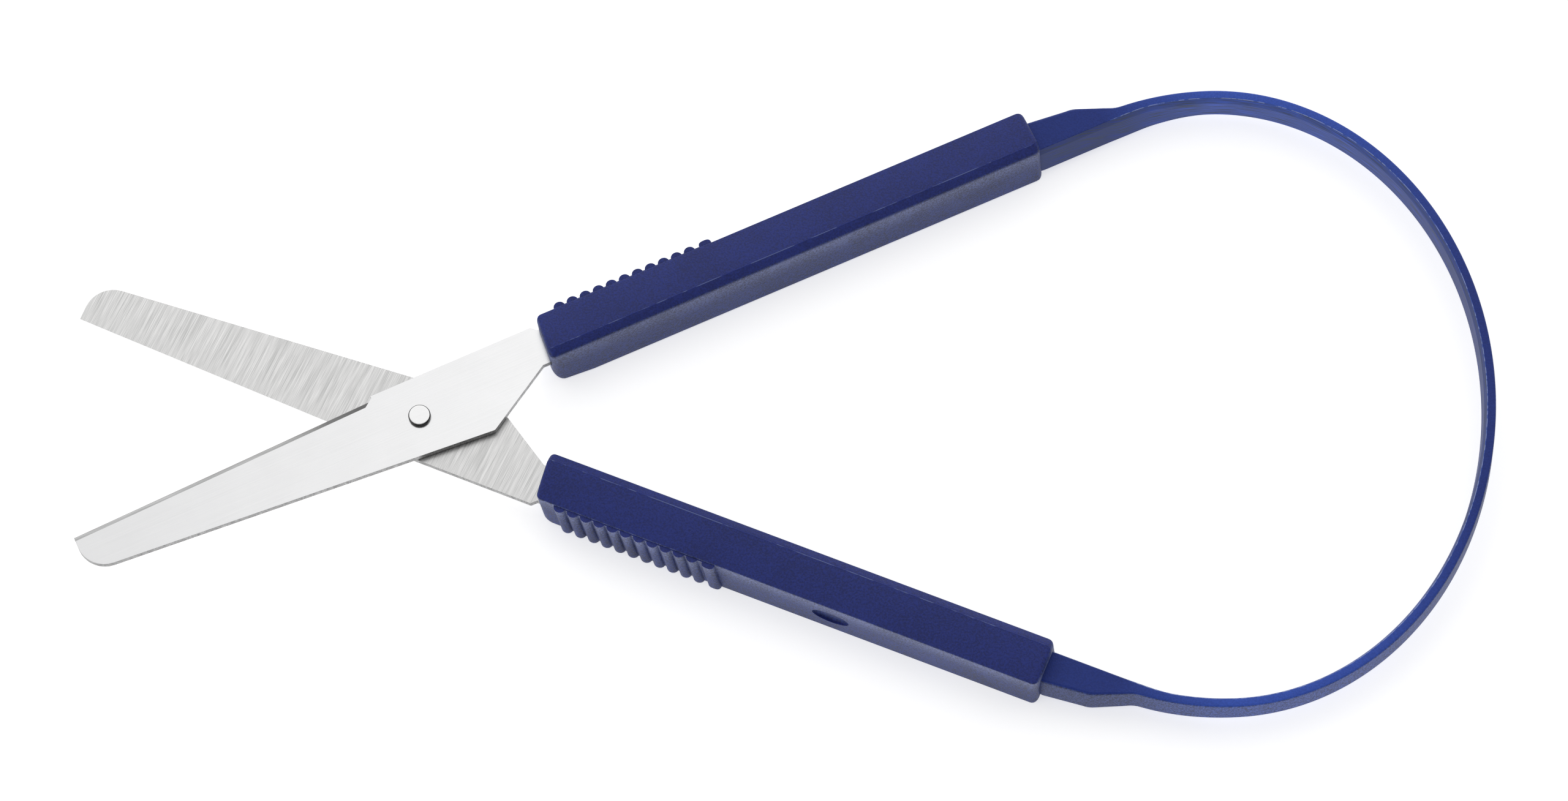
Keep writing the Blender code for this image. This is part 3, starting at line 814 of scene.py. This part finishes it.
def strap_section(along):
    """Offsets across the strap and heights, with a round at each corner."""
    thick = thickness(along)
    toward_grip = max(0.0, (TAPER[0] - along) / (TAPER[0] - PLUG_END))
    outer = STRAP_HALF + thick * (BLOCK_EXTRA[1] + (BLOCK_EXTRA[0] - BLOCK_EXTRA[1]) * toward_grip)
    outer_foot = outer + STRAP_DRAFT + (BLOCK_DRAFT - STRAP_DRAFT) * thick
    inner = -STRAP_HALF - STRAP_EXTRA - BLOCK_INNER_EXTRA * fade(along, *INNER_FADE)
    inner_foot = inner - STRAP_DRAFT - INNER_LEAN * fade(along, *LEAN_FADE)
    low = STRAP_LOW - (STRAP_LOW - BLOCK_LOW) * fade(along, *LOW_FADE)
    if along < PLUG_END:
        outer = outer_foot = STRAP_HALF + BLOCK_EXTRA[1] - PLUG_STEP
        inner = -STRAP_HALF + PLUG_STEP
        inner_foot = inner - STRAP_DRAFT
        low = STRAP_LOW
    inner_top = inner + STRAP_DRAFT
    top_radius = STRAP_TOP_RADIUS + (BLOCK_TOP_RADIUS - STRAP_TOP_RADIUS) * thick
    return rounded([
        (outer_foot, low, STRAP_FOOT_RADIUS),
        (outer, STRAP_HIGH, top_radius),
        (inner_top + EDGE_BEVEL[0], STRAP_HIGH, EDGE_LINE_RADIUS),
        (inner_top, STRAP_HIGH - EDGE_BEVEL[1], BEVEL_RADIUS),
        (inner_foot, low, INNER_FOOT_ROUND),
    ])


def strap_matrix(side):
    """From the upper half's frame to the row frame, or to its mirror image for the lower half."""
    return Matrix.Translation(PIVOT) @ Matrix.Diagonal((1, side, 1, 1))


def strap_mesh(name, side, stations):
    """A length of the strap, with UVs in metres along it and round it."""
    to_row = strap_matrix(side)
    rings = []
    coordinates = []
    for along in stations:
        point, direction = strap_frame(along)
        outward = Vector((-direction.y, direction.x))
        section = [Vector((offset, z)) for offset, z in strap_section(along)]
        round_it = LOWER_UV_SHIFT if side == LOWER else 0.0
        ring = []
        for index, corner in enumerate(section):
            if index > 0:
                round_it += (corner - section[index - 1]).length
            coordinates.append((along, round_it))
            place = point + outward * corner.x
            ring.append(to_row @ Vector((place.x, place.y, corner.y)))
        rings.append(ring)
    mesh = loft(name, rings)
    layer = mesh.uv_layers.new(name="along_strap")
    for loop in mesh.loops:
        layer.data[loop.index].uv = coordinates[loop.vertex_index]
    paint_strap(mesh, coordinates, len(rings[0]))
    return mesh


def paint_strap(mesh, coordinates, ring_size):
    """Grainy on the outer side and the top, streaked on the bevel and the inner side, a painted highlight
    line between.
    """
    corners = 5
    line_start = 2 * ring_size // corners
    line_end = 3 * ring_size // corners - 1
    for face in mesh.polygons:
        if len(face.vertices) > 4:
            continue
        numbers = [index % ring_size for index in face.vertices]
        along = min(coordinates[index][0] for index in face.vertices)
        # the rounded edge between the top and the bevel takes the dashed painted highlight
        on_edge_highlight = line_start <= min(numbers) and max(numbers) <= line_end
        if min(numbers) >= line_end:
            face.material_index = 2
        elif on_edge_highlight and along > EDGE_HIGHLIGHT_START:
            face.material_index = 1


def hinge_places(word):
    """The distance along the strap of each hinge in the record."""
    places = []
    count = sum(1 for name in joints if name.startswith(word + "_hinge_"))
    for number in range(1, count + 1):
        x, y, _ = joints[f"{word}_hinge_{number}"]["pos_m"]
        target = Vector((x - PIVOT.x, abs(y)))
        tries = [STRAP_END * step / 2000 for step in range(2001)]
        places.append(min(tries, key=lambda along: (strap_frame(along)[0] - target).length))
    return places


def strap_stations(start, end):
    """Where a length of the strap is given a section, closer together along the taper."""
    if start > PLUG_START:
        return evenly(start, end, 28)
    fine_end = TAPER[0] + TAPER_FINE
    stations = [PLUG_START, PLUG_END]
    stations += evenly(PLUG_END, TAPER[0], 3)[1:-1]
    stations += evenly(TAPER[0], fine_end, 18)
    stations += evenly(fine_end, end, 18)[1:]
    return stations


def strap_pieces(word, *materials):
    """The strap in one piece for each hinge, running round it from mid length to mid length."""
    side = SIDES[word]
    hinges = hinge_places(word)
    middles = [(before + after) / 2 for before, after in zip(hinges, hinges[1:])]
    starts = [PLUG_START] + middles
    ends = middles + [STRAP_END]
    for index, hinge in enumerate(hinges):
        number = index + 1
        stations = strap_stations(starts[index], ends[index])
        name = f"{word}_strap_{number}"
        piece = show(name, strap_mesh(name, side, stations), *materials)
        smooth(piece)
        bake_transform(piece)
        replaced = [f"{word}_loop_{number}"]
        if index == 0:
            replaced.append(word + "_loop_end")
        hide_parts(*replaced)


# ---------------------------------------------------------------- stage


def add_floor():
    """A plain pale floor that glows a little, which keeps it white."""
    mesh = bpy.data.meshes.new("floor")
    corners = [(-1, -1), (1, -1), (1, 1), (-1, 1)]
    mesh.from_pydata([(x * FLOOR_HALF, y * FLOOR_HALF, FLOOR_Z) for x, y in corners], [], [(0, 1, 2, 3)])
    paint = Paint("pale_floor", (0.9, 0.9, 0.9), 0.7)
    paint.set(paint.shader, "Emission Color", (1, 1, 1, 1))
    paint.set(paint.shader, "Emission Strength", FLOOR_GLOW)
    show("floor", mesh, paint.material)


def add_light(name, location, size, power):
    """A rectangular lamp that faces the row frame's origin."""
    data = bpy.data.lights.new(name, "AREA")
    data.shape = "RECTANGLE"
    data.size, data.size_y = size
    data.energy = power
    light = bpy.data.objects.new(name, data)
    light.location = location
    light.rotation_euler = (-Vector(location)).to_track_quat("-Z", "Y").to_euler()
    bpy.context.scene.collection.objects.link(light)


def add_world():
    """A dim white surround."""
    world = bpy.data.worlds.new("studio")
    world.use_nodes = True
    background = world.node_tree.nodes["Background"]
    background.inputs["Color"].default_value = (1, 1, 1, 1)
    background.inputs["Strength"].default_value = WORLD_STRENGTH
    bpy.context.scene.world = world


def add_camera():
    """The main view, from nearly overhead."""
    data = bpy.data.cameras.new("camera")
    data.sensor_width = 36.0
    data.lens = CAMERA_LENS
    data.clip_end = 10.0
    camera = bpy.data.objects.new("camera", data)
    camera.location = PIVOT + Vector(CAMERA_FROM_PIVOT)
    camera.rotation_euler = Euler([math.radians(turn) for turn in CAMERA_TURN])
    bpy.context.scene.collection.objects.link(camera)
    bpy.context.scene.camera = camera


def add_blades():
    """Both blades and the rivet, which share their ground and cut steel."""
    front = polished_steel("polished_blade_steel", UPPER, (0.8, 0.8, 0.805), (0.95, 0.95, 0.955))
    brushed = brushed_steel("brushed_blade_steel", LOWER, (0.55, 0.55, 0.545), (0.92, 0.915, 0.91))
    ground = ground_steel(
        "ground_edge_steel", UPPER, (0.22, 0.22, 0.22), (0.55, 0.55, 0.55), (0.14, 0.14, 0.14)
    )
    edge = lined_steel("cut_edge_steel", 0, (0.2, 0.2, 0.2), (0.5, 0.5, 0.5), 0.4)[0].material
    rivet = polished_steel("rivet_steel_bright", UPPER, (0.9, 0.9, 0.9), (0.95, 0.95, 0.95))
    # near-black steel for the rivet's rim, side and tail: painted shade
    rim_shade = lined_steel("rivet_rim_painted_shade", 0, (0.02, 0.02, 0.02), (0.09, 0.09, 0.09), 0.3)[0].material
    front_blade = blade_piece("front_blade_polished", "front_blade", UPPER, front, ground, edge)
    back_blade = blade_piece("back_blade_brushed", "back_blade", LOWER, brushed, ground, edge)
    rivet_piece(rivet, rim_shade)


def main():
    bpy.context.scene.view_settings.view_transform = "Standard"
    add_camera()
    add_world()
    add_floor()
    add_light("overhead", location=(0.2, 1.3, 1.3), size=(4.0, 3.0), power=27.0)
    add_light("side", location=(-1.6, -0.5, 0.5), size=(1.5, 1.0), power=6.0)
    add_blades()
    grip = moulded_plastic("navy_moulded_plastic", NAVY, LOW_SIDE_SHADE_NAVY, SIDE_SHEEN_NAVY)
    ridge_highlight = dashed_highlight_plastic("ridge_highlight_plastic", NAVY, RIDGE_HIGHLIGHT_BLUE, 3.5 * MM)
    grainy = grainy_strap("grainy_strap_plastic")
    edge_highlight = dashed_highlight_plastic("strap_edge_highlight_plastic", EDGE_BLUE, EDGE_HIGHLIGHT_BLUE, 0.9 * MM)
    streaked = streaked_strap("streaked_strap_plastic")
    for word in SIDES:
        grip_piece(word, grip, ridge_highlight)
        strap_pieces(word, grainy, edge_highlight, streaked)


main()
